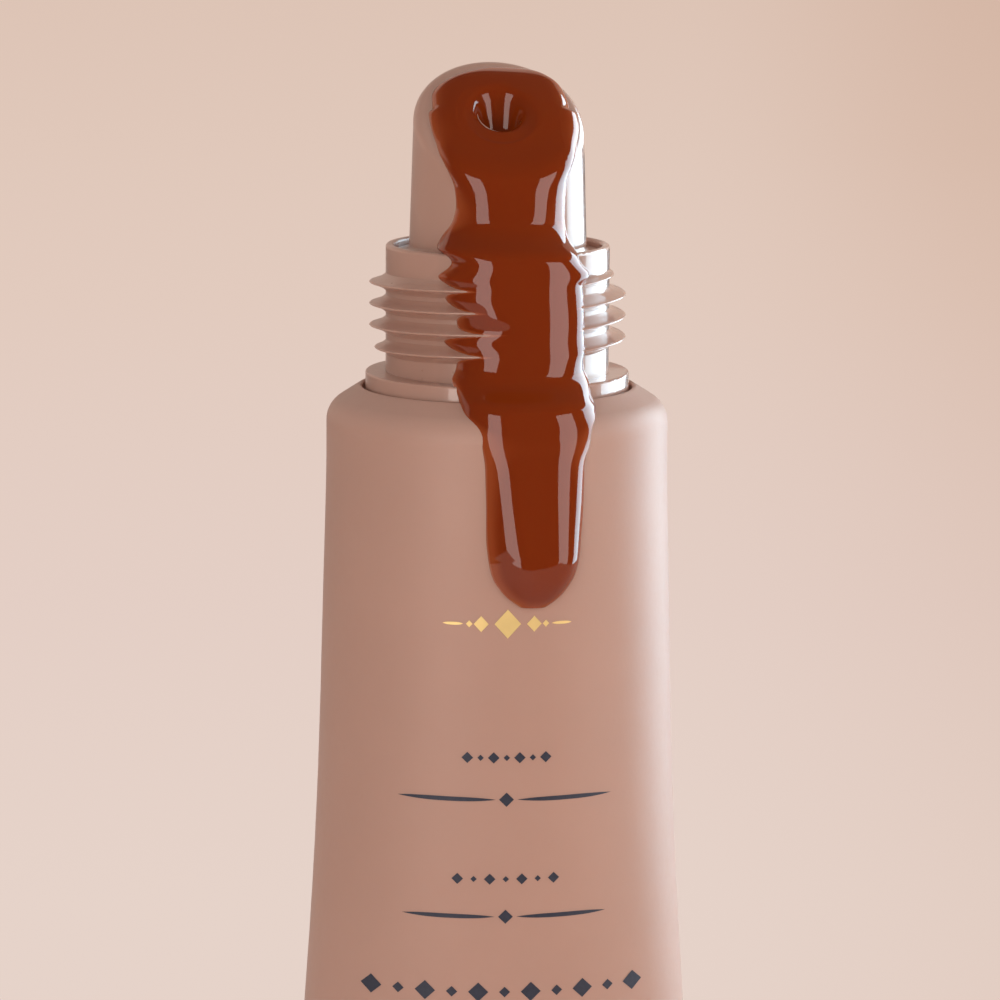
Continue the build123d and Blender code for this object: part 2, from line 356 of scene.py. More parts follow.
class Tree:
    """A geometry node tree under construction, with named inputs: lengths or angles, and counts."""

    def __init__(self, name, lengths, counts=()):
        self.group = bpy.data.node_groups.new(name, "GeometryNodeTree")
        self.group.interface.new_socket("Geometry", in_out="OUTPUT", socket_type="NodeSocketGeometry")
        self.identifiers = {}
        for labels, kind in ((lengths, "NodeSocketFloat"), (counts, "NodeSocketInt")):
            for label in labels:
                socket = self.group.interface.new_socket(label, in_out="INPUT", socket_type=kind)
                self.identifiers[label] = socket.identifier
        self.source = self.group.nodes.new("NodeGroupInput")
        self.result = self.group.nodes.new("NodeGroupOutput")

    def put(self, value, socket):
        if isinstance(value, bpy.types.NodeSocket):
            self.group.links.new(value, socket)
        else:
            socket.default_value = value

    def node(self, kind, inputs=(), **properties):
        """A node of that kind, with its inputs given by name or number."""
        node = self.group.nodes.new(kind)
        for key, value in properties.items():
            setattr(node, key, value)
        for key, value in dict(inputs).items():
            self.put(value, node.inputs[key])
        return node

    def math(self, operation, *values):
        return self.node("ShaderNodeMath", enumerate(values), operation=operation).outputs[0]

    def input(self, label):
        return self.source.outputs[label]

    def unit_grid(self, across, along):
        """A flat grid of so many points from -0.5 to 0.5 each way, and its X and Y."""
        size = {"Size X": 1.0, "Size Y": 1.0, "Vertices X": across, "Vertices Y": along}
        grid = self.node("GeometryNodeMeshGrid", size)
        place = self.node("ShaderNodeSeparateXYZ", {0: self.node("GeometryNodeInputPosition").outputs[0]})
        return grid.outputs["Mesh"], place.outputs["X"], place.outputs["Y"]

    def moved(self, geometry, x, y, z):
        """The geometry with its points moved to x, y, z."""
        place = self.node("ShaderNodeCombineXYZ", {"X": x, "Y": y, "Z": z})
        inputs = {"Geometry": geometry, "Position": place.outputs[0]}
        return self.node("GeometryNodeSetPosition", inputs).outputs[0]

    def finish(self, geometry, material):
        """Ends the tree in Realize Instances and Set Material."""
        real = self.node("GeometryNodeRealizeInstances", {"Geometry": geometry})
        painted = self.node("GeometryNodeSetMaterial", {"Geometry": real.outputs[0], "Material": material})
        self.put(painted.outputs[0], self.result.inputs[0])

    def build(self, name, values):
        """Runs the tree with these input values and returns the result as a plain mesh object."""
        holder = bpy.data.objects.new(name, bpy.data.meshes.new(name))
        bpy.context.scene.collection.objects.link(holder)
        modifier = holder.modifiers.new("build", "NODES")
        modifier.node_group = self.group
        for label, value in values.items():
            modifier[self.identifiers[label]] = value
        evaluated = holder.evaluated_get(bpy.context.evaluated_depsgraph_get())
        mesh = bpy.data.meshes.new_from_object(evaluated)
        holder.modifiers.remove(modifier)
        holder.data = mesh
        mesh.name = name
        return holder


# ---- neck thread -----------------------------------------------------------------------------------


# From crest to foot: share of half the base, share of the height
THREAD_FLANK = [(0.0, 1.0), (0.07, 0.965), (0.2, 0.74), (0.55, 0.28), (1.0, 0.0)]
THREAD_SINK = 0.04 * MM  # how deep its foot lies in the neck
THREAD_END = 0.3  # share of its base that is left at its two ends


def thread_tree(material):
    """A V thread swept along its helix on a grid: columns follow the helix and rows go over the crest."""
    tree = Tree(
        "neck_thread",
        ["Core Radius", "Height", "Pitch", "Base", "Start Height", "Start Angle", "Sweep", "Fade"],
    )
    grid, place_along, across = tree.unit_grid(900, 25)
    along = tree.math("ADD", place_along, 0.5)
    turned = tree.math("MULTIPLY", along, tree.input("Sweep"))
    left = tree.math("SUBTRACT", tree.input("Sweep"), turned)
    nearest_end = tree.math("DIVIDE", tree.math("MINIMUM", turned, left), tree.input("Fade"))
    grown = tree.math("MINIMUM", nearest_end, 1.0)
    # concave flanks that meet in a narrow rounded crest
    from_crest = tree.math("ABSOLUTE", tree.math("MULTIPLY", across, 2.0))
    flank = tree.node("ShaderNodeFloatCurve", {"Value": from_crest})
    curve = flank.mapping.curves[0]
    curve.points[0].location = (0.0, 1.0)
    curve.points[1].location = (1.0, 0.0)
    for at, height in THREAD_FLANK[1:-1]:
        curve.points.new(at, height)
    flank.mapping.update()
    rise = tree.math("MULTIPLY", tree.math("MULTIPLY", flank.outputs[0], grown), tree.input("Height"))
    radius = tree.math("ADD", tree.math("SUBTRACT", tree.input("Core Radius"), THREAD_SINK), rise)
    angle = tree.math("ADD", turned, tree.input("Start Angle"))
    narrowed = tree.math("MULTIPLY_ADD", grown, 1 - THREAD_END, THREAD_END)
    shift = tree.math("MULTIPLY", tree.math("MULTIPLY", across, tree.input("Base")), narrowed)
    climb = tree.math("MULTIPLY", tree.math("DIVIDE", turned, 2 * pi), tree.input("Pitch"))
    height = tree.math("ADD", tree.math("ADD", climb, shift), tree.input("Start Height"))
    x = tree.math("MULTIPLY", radius, tree.math("COSINE", angle))
    y = tree.math("MULTIPLY", radius, tree.math("SINE", angle))
    turned_out = tree.node("GeometryNodeFlipFaces", {"Mesh": tree.moved(grid, x, y, height)})
    smooth = tree.node("GeometryNodeSetShadeSmooth", {"Geometry": turned_out.outputs[0]})
    tree.finish(smooth.outputs[0], material)
    return tree


class GLOSSTUBE_OT_neck_thread(bpy.types.Operator):
    """Winds the cap's thread round the neck"""

    bl_idname = "glosstube.neck_thread"
    bl_label = "Neck Thread"

    def execute(self, context):
        settings = context.scene.gloss_tube_thread
        made = thread_tree(bpy.data.materials["head_plastic"]).build(
            "neck_thread",
            {
                "Core Radius": settings.core,
                "Height": settings.height,
                "Pitch": settings.pitch,
                "Base": settings.base,
                "Start Height": MOUTH + settings.start,
                "Start Angle": settings.start_angle,
                "Sweep": settings.sweep,
                "Fade": settings.fade,
            },
        )
        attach(made, "root")
        return {"FINISHED"}


# ---- crimp -----------------------------------------------------------------------------------------

CRIMP_HEIGHT = 5.0 * MM
CRIMP_HALF_DEPTH = 0.51 * MM
RIB_SINK = 0.005 * MM  # how deep the ribs' edges lie in the crimp's faces


def crimp_tree(material):
    """Pressed ribs side by side on both faces of the crimp."""
    tree = Tree("crimp_ribs", ["Width", "Low", "High", "Half Depth", "Rib Height"], ["Ribs"])
    half_width = tree.math("MULTIPLY", tree.input("Width"), 0.5)
    steps = tree.math("SUBTRACT", tree.input("Ribs"), 1.0)
    pitch = tree.math("DIVIDE", tree.input("Width"), steps)
    length = tree.math("SUBTRACT", tree.input("High"), tree.input("Low"))
    start = tree.node("ShaderNodeCombineXYZ", {"X": tree.math("MULTIPLY", half_width, -1.0)})
    step = tree.node("ShaderNodeCombineXYZ", {"X": pitch})
    places = tree.node(
        "GeometryNodeMeshLine",
        {"Count": tree.input("Ribs"), "Start Location": start.outputs[0], "Offset": step.outputs[0]},
        mode="OFFSET",
    )
    # one rib: a low ridge with ends that taper into the face
    ridge, across, along = tree.unit_grid(7, 5)
    crown = tree.math("COSINE", tree.math("MULTIPLY", across, pi))
    from_middle = tree.math("ABSOLUTE", tree.math("MULTIPLY", along, 2.0))
    taper = tree.math("COSINE", tree.math("POWER", from_middle, 6.0))
    level = tree.math("MULTIPLY", tree.math("MULTIPLY", crown, taper), tree.input("Rib Height"))
    middle = tree.math("MULTIPLY", tree.math("ADD", tree.input("High"), tree.input("Low")), 0.5)
    rib = tree.moved(
        ridge,
        tree.math("MULTIPLY", across, pitch),
        tree.math("MULTIPLY", tree.math("ADD", tree.input("Half Depth"), level), -1.0),
        tree.math("ADD", tree.math("MULTIPLY", along, length), middle),
    )
    row = tree.node("GeometryNodeInstanceOnPoints", {"Points": places.outputs[0], "Instance": rib})
    front = tree.node("GeometryNodeRealizeInstances", {"Geometry": row.outputs[0]})
    back = tree.node("GeometryNodeTransform", {"Geometry": front.outputs[0], "Rotation": (0.0, 0.0, pi)})
    both = tree.node("GeometryNodeJoinGeometry")
    tree.put(front.outputs[0], both.inputs[0])
    tree.put(back.outputs[0], both.inputs[0])
    merged = tree.node("GeometryNodeMergeByDistance", {"Geometry": both.outputs[0], "Distance": 0.001 * MM})
    smooth = tree.node("GeometryNodeSetShadeSmooth", {"Geometry": merged.outputs[0]})
    tree.finish(smooth.outputs[0], material)
    return tree


class GLOSSTUBE_OT_crimp(bpy.types.Operator):
    """Presses the ribs into the crimped end"""

    bl_idname = "glosstube.crimp"
    bl_label = "Crimp Ribs"

    def execute(self, context):
        settings = context.scene.gloss_tube_crimp
        made = crimp_tree(bpy.data.materials["sleeve_plastic"]).build(
            "crimp_ribs",
            {
                "Width": SLEEVE_HIGH.x - SLEEVE_LOW.x - 3 * settings.border,
                "Low": SLEEVE_LOW.z + settings.border,
                "High": SLEEVE_LOW.z + CRIMP_HEIGHT - settings.border,
                "Half Depth": CRIMP_HALF_DEPTH - RIB_SINK,
                "Rib Height": settings.rib_height,
                "Ribs": settings.ribs,
            },
        )
        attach(made, "root")
        return {"FINISHED"}


# ---- print -----------------------------------------------------------------------------------------

PRINT_LIFT = 0.02 * MM  # how far the print stands off the sleeve
# Rows of small lozenges: distance below the mouth, width of the row, size of a lozenge. Millimetres.
INK_ROWS = ((19.25, 4.9, 0.62), (26.1, 5.9, 0.62), (32.6, 15.6, 1.1))
# Rules with a lozenge between their halves: distance below the mouth, width. Millimetres.
INK_RULES = ((21.6, 11.7), (28.25, 11.2))


def sleeve_front():
    """A function that lays a point (across, height) a print's thickness off the sleeve's front."""
    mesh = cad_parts["tube_sleeve"].data
    surface = BVHTree.FromPolygons([v.co for v in mesh.vertices], [p.vertices for p in mesh.polygons])

    def lay(across, height):
        hit, normal, _, _ = surface.ray_cast(Vector((across, CAD_BOX[0].y - 0.01, height)), Vector((0, 1, 0)))
        if hit is None:
            raise RuntimeError("the print runs off the sleeve")
        return hit + normal * PRINT_LIFT

    return lay


def rule(middle, height, width, thickness):
    """A straight rule that tapers towards both ends, as rows of points (across, height)."""
    grid = []
    for v in np.linspace(-0.5, 0.5, 5):
        row = []
        for u in np.linspace(-1, 1, max(9, int(width / (0.15 * MM)))):
            row.append((middle + u * width / 2, height + v * thickness * (1 - abs(u) ** 3) + v * 0.004 * MM))
        grid.append(row)
    return grid


def lozenge(middle, height, width, size):
    """A diamond as a grid that narrows to a point at both ends."""
    grid = []
    for v in np.linspace(-0.5, 0.5, 13):
        reach = width * (1 - 2 * abs(v)) + 0.01 * MM
        grid.append([(middle + u * reach, height + v * size) for u in np.linspace(-0.5, 0.5, 9)])
    return grid


def print_piece(name, shapes, material):
    """Lays the shapes on the sleeve as one thin mesh."""
    lay = sleeve_front()
    points = []
    faces = []
    for grid in shapes:
        first = len(points)
        for row in grid:
            points += [lay(across, height) for across, height in row]
        for face in grid_faces(len(grid), len(grid[0])):
            faces.append(tuple(first + i for i in face))
    made = link_mesh(name, points, faces, material)
    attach(made, "root")


class GLOSSTUBE_OT_print(bpy.types.Operator):
    """Stamps the foil ornament and prints the ink rules on the sleeve's front"""

    bl_idname = "glosstube.print"
    bl_label = "Print"

    def execute(self, context):
        settings = context.scene.gloss_tube_print
        height = MOUTH - settings.foil_height
        size = settings.foil_size
        width = settings.foil_width
        ornament = [lozenge(0, height, size * 0.9, size)]
        for side in (-1, 1):
            ornament.append(lozenge(side * size * 0.9, height, size * 0.5, size * 0.55))
            ornament.append(lozenge(side * size * 1.3, height, size * 0.22, size * 0.24))
            reach = width / 2 - size * 1.5
            ornament.append(rule(side * (size * 1.5 + reach / 2), height, reach, 0.16 * MM))
        print_piece("foil_ornament", ornament, foil(settings))

        marks = []
        for below, row_width, size in INK_ROWS:
            count = round(row_width / (1.3 * size)) // 2 * 2 + 1
            for step in range(count):
                place = (step / (count - 1) - 0.5) * (row_width - size) * MM
                scale = size * MM * (1.0 if step % 2 == 0 else 0.55)
                marks.append(lozenge(place, MOUTH - below * MM, scale, scale))
        for below, row_width in INK_RULES:
            level = MOUTH - below * MM
            for side in (-1, 1):
                middle = side * (row_width / 4 + 0.3) * MM
                marks.append(rule(middle, level, (row_width / 2 - 0.6) * MM, 0.24 * MM))
            marks.append(lozenge(0, level, 0.8 * MM, 0.8 * MM))
        print_piece("ink_marks", marks, ink(settings))
        return {"FINISHED"}


# ---- gloss -----------------------------------------------------------------------------------------

# The gloss is a sheet laid along a path: from the back of the slanted face over its front lip and down to the
# bead on the sleeve. Millimetres, heights above the mouth, x to the right.
# On the slanted face: how far down the slope, left edge, right edge, thickness.
FACE_STATIONS = [
    (-3.75, 0.1, 1.7, 0.05),
    (-3.6, -0.5, 2.2, 0.18),
    (-3.3, -1.25, 2.75, 0.3),
    (-2.9, -2.0, 3.2, 0.42),
    (-2.4, -2.8, 3.6, 0.52),
    (-1.75, -3.38, 3.78, 0.58),
    (-0.9, -3.62, 3.92, 0.63),
    (0.7, -3.62, 3.98, 0.68),
    (2.4, -3.82, 4.3, 0.66),
    (3.7, -3.72, 4.3, 0.6),
]
# Over the lip and down: forward and height of what it lies on, tilt of its surface, left edge, right edge,
# thickness.
LIP_STATIONS = [
    (3.62, 12.67, 46.0, -3.46, 4.03, 0.66),
    (4.16, 12.25, 33.0, -3.3, 3.95, 0.75),
    (4.5, 11.85, 20.0, -3.08, 3.83, 0.78),
    (4.7, 11.4, 8.0, -2.84, 3.68, 0.72),
]
# Down the front: height, radius of what it lies on, radius of its surface, left edge, right edge.
FRONT_STATIONS = [
    (10.8, 4.8, 5.45, -2.64, 3.55),
    (10.2, 4.84, 5.47, -2.58, 3.45),
    (9.6, 4.88, 5.55, -2.75, 3.42),
    (9.2, 4.9, 5.72, -2.95, 3.47),
    (8.9, 4.92, 5.98, -3.2, 3.54),
    (8.6, 4.95, 6.35, -3.38, 3.62),
    (8.35, 5.02, 6.75, -3.52, 3.7),
    (8.1, 5.15, 7.08, -3.65, 3.8),
    (7.8, 5.6, 7.3, -3.3, 3.98),
    (7.4, 6.1, 7.4, -2.92, 4.15),
    (7.0, 6.21, 7.41, -3.2, 4.5),
    (6.65, 6.21, 7.42, -3.75, 4.75),
    (6.2, 6.21, 7.42, -3.15, 4.2),
    (5.6, 6.21, 7.42, -3.3, 4.3),
    (4.9, 6.21, 7.44, -2.8, 4.3),
    (4.5, 6.21, 7.47, -2.65, 4.3),
    (3.9, 6.21, 7.48, -2.6, 4.3),
    (3.2, 6.21, 7.5, -3.4, 4.35),
    (2.6, 6.21, 7.52, -2.75, 4.35),
    (2.15, 6.21, 7.55, -2.6, 4.3),
    (1.6, 6.25, 7.61, -2.65, 4.4),
    (1.15, 6.6, 7.79, -2.9, 4.58),
    (0.85, 7.0, 8.06, -2.85, 4.65),
    (0.58, 7.25, 8.42, -2.72, 4.7),
    (0.35, 7.35, 8.85, -2.6, 4.72),
    (0.13, 7.45, 9.2, -2.58, 4.76),
    (-0.12, 7.7, 9.42, -2.52, 4.92),
    (-0.45, 8.15, 9.57, -2.44, 4.96),
    (-0.9, 8.75, 9.69, -2.14, 4.97),
    (-1.5, 9.22, 9.82, -1.82, 4.78),
    (-2.2, 9.44, 9.98, -1.53, 4.48),
    (-3.2, 9.48, 10.14, -1.31, 4.17),
    (-5.0, 9.48, 10.33, -1.26, 4.14),
    (-7.0, 9.48, 10.52, -1.22, 4.02),
    (-8.2, 9.47, 10.57, -1.1, 3.93),
    (-9.2, 9.46, 10.48, -0.88, 3.7),
    (-9.9, 9.46, 10.28, -0.45, 3.26),
    (-10.4, 9.45, 10.03, 0.0, 2.82),
    (-10.75, 9.45, 9.78, 0.5, 2.3),
    (-10.98, 9.45, 9.58, 0.85, 1.9),
]
# How full the run's section is, by height: power of its left half, power of its right half.
FULLNESS = [
    (-11.0, 2.0, 3.0),
    (-8.2, 2.0, 4.4),
    (-5.0, 2.8, 3.6),
    (-1.5, 3.0, 3.6),
    (0.3, 4.0, 3.2),
    (1.4, 3.5, 3.6),
    (2.4, 3.0, 6.5),
    (7.0, 3.0, 6.5),
    (8.4, 3.4, 3.2),
    (9.5, 3.0, 2.7),
    (10.4, 4.0, 4.0),
    (11.6, 7.0, 7.0),
    (13.0, 8.0, 8.0),
    (18.0, 6.0, 6.0),
]
FACE_ANGLE = radians(33.0)
FACE_DOME = 30.0
FACE_HEIGHT = 15.4
LIP_RADIUS = 5.0  # plan radius of the applicator at its lip
LIP_REACH = 3.2  # how far to the sides the lip keeps rising
ORIFICE_FORWARD = 1.12  # how far in front of the axis the crater's middle lies
ORIFICE_SIDE = 0.04  # and how far to the right
# Crater over the orifice: distance from its middle, level of the gloss above the face.
CRATER = [
    (0.0, -1.7),
    (0.5, -1.6),
    (0.8, -1.25),
    (0.98, -0.75),
    (1.1, -0.25),
    (1.2, 0.06),
    (1.42, 0.33),
    (1.7, 0.52),
    (2.0, 0.65),
    (2.4, 0.68),
]
CRATER_SHIFT = 0.52  # how much further back its steep part lies than its rim
PLUG_LEVEL = 12.4  # how high the gloss stands in the channel under the orifice
CRATER_ABOVE = 12.8  # the crater is only on the part of the sheet above this
SHEET_ROOT = 1.3  # how deep the sheet reaches under the surface it lies on
SEAT_LIMITS = (-0.4, 0.9)  # how far the sheet follows the solids below and above its own base
SEAT_MISSED = -0.15  # where no solid is found under the sheet
CREST_BARE = 0.12  # how far the gloss stays under a bare crest
# Hollow on the run's left: depth, height, reach upwards and downwards, where it begins
LEFT_DENT = (0.26, 3.5, 0.9, 1.5, 1.5)


def gloss_path():
    """Stations of the sheet: forward, height, tilt, plan radius, left edge, right edge, thickness."""
    path = []
    for down, left, right, thickness in FACE_STATIONS:
        drop = down**2 / (2 * FACE_DOME)
        forward = down * cos(FACE_ANGLE) - drop * sin(FACE_ANGLE)
        height = FACE_HEIGHT - down * sin(FACE_ANGLE) - drop * cos(FACE_ANGLE)
        path.append((forward, height, pi / 2 - FACE_ANGLE, LIP_RADIUS, left, right, thickness))
    for forward, height, tilt, left, right, thickness in LIP_STATIONS:
        path.append((forward, height, radians(tilt), LIP_RADIUS, left, right, thickness))
    for height, radius, surface, left, right in FRONT_STATIONS:
        path.append((radius, height, 0.0, radius, left, right, surface - radius))
    return np.array(path)


def evened(values, passes):
    """values smoothed along their first axis."""
    for _ in range(passes):
        padded = np.concatenate([values[:1], values, values[-1:]])
        values = 0.25 * padded[:-2] + 0.5 * padded[1:-1] + 0.25 * padded[2:]
    return values


def seats(place, outward):
    """How far the solids stand above (or lie below) each place, measured along its outward direction."""
    corners = []
    faces = []
    for name in ("applicator_tip", "tube_head", "tube_sleeve"):
        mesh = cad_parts[name].data
        first = len(corners)
        corners += [v.co for v in mesh.vertices]
        faces += [tuple(first + i for i in p.vertices) for p in mesh.polygons]
    surface = BVHTree.FromPolygons(corners, faces)
    reach = 2.5 * MM
    found = np.zeros(place.shape[:2])
    for row in range(place.shape[0]):
        for column in range(place.shape[1]):
            way = Vector(outward[row, column])
            start = Vector(place[row, column]) + way * reach
            _, _, _, distance = surface.ray_cast(start, -way, 2 * reach)
            found[row, column] = SEAT_MISSED if distance is None else (reach - distance) / MM
    return found


def gloss_sheet(across, along, thread):
    """Points of the closed sheet as rows of a grid, and how thick the gloss is at each."""
    path = gloss_path()
    lengths = np.concatenate([[0], np.cumsum(np.hypot(np.diff(path[:, 0]), np.diff(path[:, 1])))])
    at = np.linspace(0, lengths[-1], along)
    columns = [evened(smooth_curve(list(zip(lengths, column)), at), 8)[:, None] for column in path.T]
    forward, height, tilt, plan, left, right, thickness = columns
    over = round(0.8 * across)  # most of the points lie on the surface, few underneath
    upper = np.linspace(0, pi, over, endpoint=False)
    around = np.concatenate([upper, np.linspace(pi, 2 * pi, across - over, endpoint=False)])[None, :]
    middle = (left + right) / 2
    half = (right - left) / 2
    x = middle - half * np.cos(around)

    # what it lies on: round in plan, with a lip that rises to the sides and a gently domed face
    ahead = np.clip((15.9 - height) / 2.2, 0, 1)
    ahead = ahead**2 * (3 - 2 * ahead)
    risen = ahead * np.clip((height - 9.6) / 1.3, 0, 1)
    bend = (plan - np.sqrt(np.maximum(plan**2 - x**2, 0.01))) * np.where(height > 10.8, ahead, 1)
    aside = np.clip(x, -LIP_REACH, LIP_REACH)
    rise_aside = (LIP_RADIUS - np.sqrt(LIP_RADIUS**2 - aside**2)) * tan(FACE_ANGLE) * risen
    on_face = np.sin(tilt) / cos(FACE_ANGLE)
    on_front = np.sin(pi / 2 - FACE_ANGLE - tilt) / cos(FACE_ANGLE)
    lean = np.arcsin(np.clip(x / plan, -0.98, 0.98))
    outward = np.stack(
        [
            np.sin(lean) * on_front + x / FACE_DOME * on_face,
            -np.cos(lean) * on_front - sin(FACE_ANGLE) * on_face,
            cos(FACE_ANGLE) * on_face + 0 * x,
        ],
        axis=2,
    )
    outward /= np.linalg.norm(outward, axis=2)[:, :, None]
    dome = x**2 / (2 * FACE_DOME) * on_face
    base = np.stack(
        [x, -(forward - bend) + dome * sin(FACE_ANGLE), height + rise_aside - dome * cos(FACE_ANGLE)], axis=2
    )
    lifted = base.copy() * MM
    lifted[:, :, 2] += MOUTH
    seat = np.clip(seats(lifted, outward), *SEAT_LIMITS) * np.clip((height - 8.8) / 0.6, 0, 1)
    seat = evened(evened(seat, 40).T, 4).T

    # the run: a rounded body from edge to edge
    powers = np.array(FULLNESS)
    power_left, power_right = (np.interp(height, powers[:, 0], powers[:, i]) for i in (1, 2))
    power = np.where(x < middle, power_left, power_right)
    body = thickness * (1 - np.minimum(np.abs(x - middle) / half, 1) ** power)

    # on the thread: the gloss fills the valleys, and the crests at its sides stay bare
    angle = np.arctan2(base[:, :, 1], base[:, :, 0]) % (2 * pi)
    first = thread.start / MM + (angle - thread.start_angle) / (2 * pi) * thread.pitch / MM
    turns = (height - first) / (thread.pitch / MM)
    nearest = np.round(turns)
    turned = nearest * 2 * pi + angle - thread.start_angle
    grown = np.clip(np.minimum(turned, thread.sweep - turned) / thread.fade, 0, 1)
    away = np.abs(turns - nearest) * thread.pitch / thread.base * 2 / ((1 - THREAD_END) * grown + THREAD_END)
    flank = thread.height / MM * grown * smooth_curve(THREAD_FLANK, np.clip(away, 0, 1))
    flank *= np.clip((height - 1.2) / 0.5, 0, 1) * np.clip((7.1 - height) / 0.3, 0, 1)
    hollow, level, upwards, downwards, begins = LEFT_DENT
    dent = hollow * np.exp(-(((height - level) / np.where(height > level, upwards, downwards)) ** 2))
    beside = np.clip((begins - x) / 2.2, 0, 1)
    body = body - dent * beside**2 * (3 - 2 * beside) * np.clip(body / 0.8 - 0.2, 0, 1)
    rise_top = np.where(flank > 0, np.maximum(body, flank - CREST_BARE), seat + body)

    # crater over the orifice, on the face alone
    ahead_of_hole = -base[:, :, 1] - ORIFICE_FORWARD
    steep = np.clip((1.8 - np.hypot(x - ORIFICE_SIDE, ahead_of_hole)) / 0.6, 0, 1)
    reach = np.hypot(x - ORIFICE_SIDE, ahead_of_hole + CRATER_SHIFT * steep)
    in_crater = (reach < CRATER[-1][0]) & (height > CRATER_ABOVE)
    bowl = smooth_curve(CRATER, np.clip(reach, 0, CRATER[-1][0]))
    rise_top = np.where(in_crater, np.minimum(bowl + seat * np.clip(bowl, 0, 1), rise_top), rise_top)
    # underneath: a root that stays inside the plastic
    root = -SHEET_ROOT * np.abs(np.sin(around)) ** 0.5 + np.where(in_crater, 1.3 * np.minimum(bowl, 0), 0)
    rise = np.where(np.sin(around) >= 0, rise_top, root)

    # the orifice is upright, so the crater sinks straight down
    sunk = np.where(in_crater & (np.sin(around) >= 0), np.minimum(rise, 0), 0)
    points = (base + outward * (rise - sunk)[:, :, None]) * MM
    points[:, :, 2] += sunk * MM
    points[:, :, 2] += MOUTH
    depth = np.maximum(body - flank, 0) * (1 + 2.5 * flank) + np.where(in_crater, CRATER[-1][1] - bowl, 0)
    return points, np.clip(depth, 0, 2)


def sunken_fill(material):
    """The gloss inside the tube, a copy of its solid with the level in the orifice lower."""
    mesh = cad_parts["gloss_fill"].data.copy()
    mesh.materials.clear()
    mesh.materials.append(material)
    made = bpy.data.objects.new("gloss_inside", mesh)
    bpy.context.scene.collection.objects.link(made)
    shape = bmesh.new()
    shape.from_mesh(mesh)
    bmesh.ops.remove_doubles(shape, verts=shape.verts, dist=0.001 * MM)
    everything = list(shape.verts) + list(shape.edges) + list(shape.faces)
    cut = bmesh.ops.bisect_plane(
        shape, geom=everything, plane_co=(0, 0, MOUTH + PLUG_LEVEL * MM), plane_no=(0, 0, 1), clear_outer=True
    )
    rim = [part for part in cut["geom_cut"] if isinstance(part, bmesh.types.BMEdge)]
    bmesh.ops.contextual_create(shape, geom=rim)
    shape.to_mesh(mesh)
    shape.free()
    depth = mesh.attributes.new("gloss_depth", "FLOAT", "POINT")
    depth.data.foreach_set("value", [1.5] * len(mesh.vertices))
    return made


class GLOSSTUBE_OT_gloss(bpy.types.Operator):
    """Lays the gloss that has run from the orifice down the front"""

    bl_idname = "glosstube.gloss"
    bl_label = "Gloss"

    def execute(self, context):
        settings = context.scene.gloss_tube_gloss
        material = wet_gloss(settings)
        points, depth = gloss_sheet(settings.across, settings.along, context.scene.gloss_tube_thread)
        rows, columns = depth.shape
        faces = grid_faces(rows, columns, round_columns=True)
        faces.append(tuple(range(columns - 1, -1, -1)))
        faces.append(tuple((rows - 1) * columns + i for i in range(columns)))
        made = link_mesh("gloss_flow", points.reshape(-1, 3), faces, material)
        thickness = made.data.attributes.new("gloss_depth", "FLOAT", "POINT")
        thickness.data.foreach_set("value", depth.astype(np.float32).ravel())
        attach(made, "root")
        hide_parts("gloss_run")

        inside = sunken_fill(material)
        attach(inside, "root")
        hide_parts("gloss_fill")
        return {"FINISHED"}


# ---- plastic ---------------------------------------------------------------------------------------


def paint(node, material):
    """Puts the material in the object's own slots; the mesh stays as it came."""
    for slot in node.material_slots:
        slot.link = "OBJECT"
        slot.material = material


class GLOSSTUBE_OT_plastic(bpy.types.Operator):
    """Gives the sleeve, the head and the applicator their satin plastic"""

    bl_idname = "glosstube.plastic"
    bl_label = "Plastic"

    def execute(self, context):
        settings = context.scene.gloss_tube_plastic
        sleeve = soft_plastic("sleeve_plastic", tuple(settings.sleeve_color), 0.48, 0.25)
        head = soft_plastic("head_plastic", tuple(settings.head_color), 0.3, 0.15)
        wet_film(head.node_tree, head.node_tree.nodes["Principled BSDF"])
        paint(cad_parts["tube_sleeve"], sleeve)
        paint(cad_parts["tube_head"], head)
        paint(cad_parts["applicator_tip"], head)
        return {"FINISHED"}


# ---- studio ----------------------------------------------------------------------------------------


LAMP_DISTANCE = 0.5
BACKDROP_Y = 0.9
BACKDROP_TOP = 0.75
FLOOR_NEAR = 0.17  # how far the floor that mirrors show reaches to the sides and to the front
STAGE_REACH = 3.0
# colour of the painted shade across the stage's right side
PAINTED_SHADE_COLOR = (0.92, 0.86, 0.82, 1)
# Painted shade along the floor and up the backdrop, darker farther off: distance, share of the stage's
# colour.
STAGE_PAINTED_SHADE = (
    (0.16, (1.0, 1.0, 1.0)),
    (0.3, (0.98, 0.955, 0.955)),
    (0.6, (0.962, 0.915, 0.88)),
    (0.9, (0.943, 0.887, 0.84)),
    (0.94, (0.915, 0.845, 0.79)),
    (1.0, (0.9, 0.825, 0.77)),
)


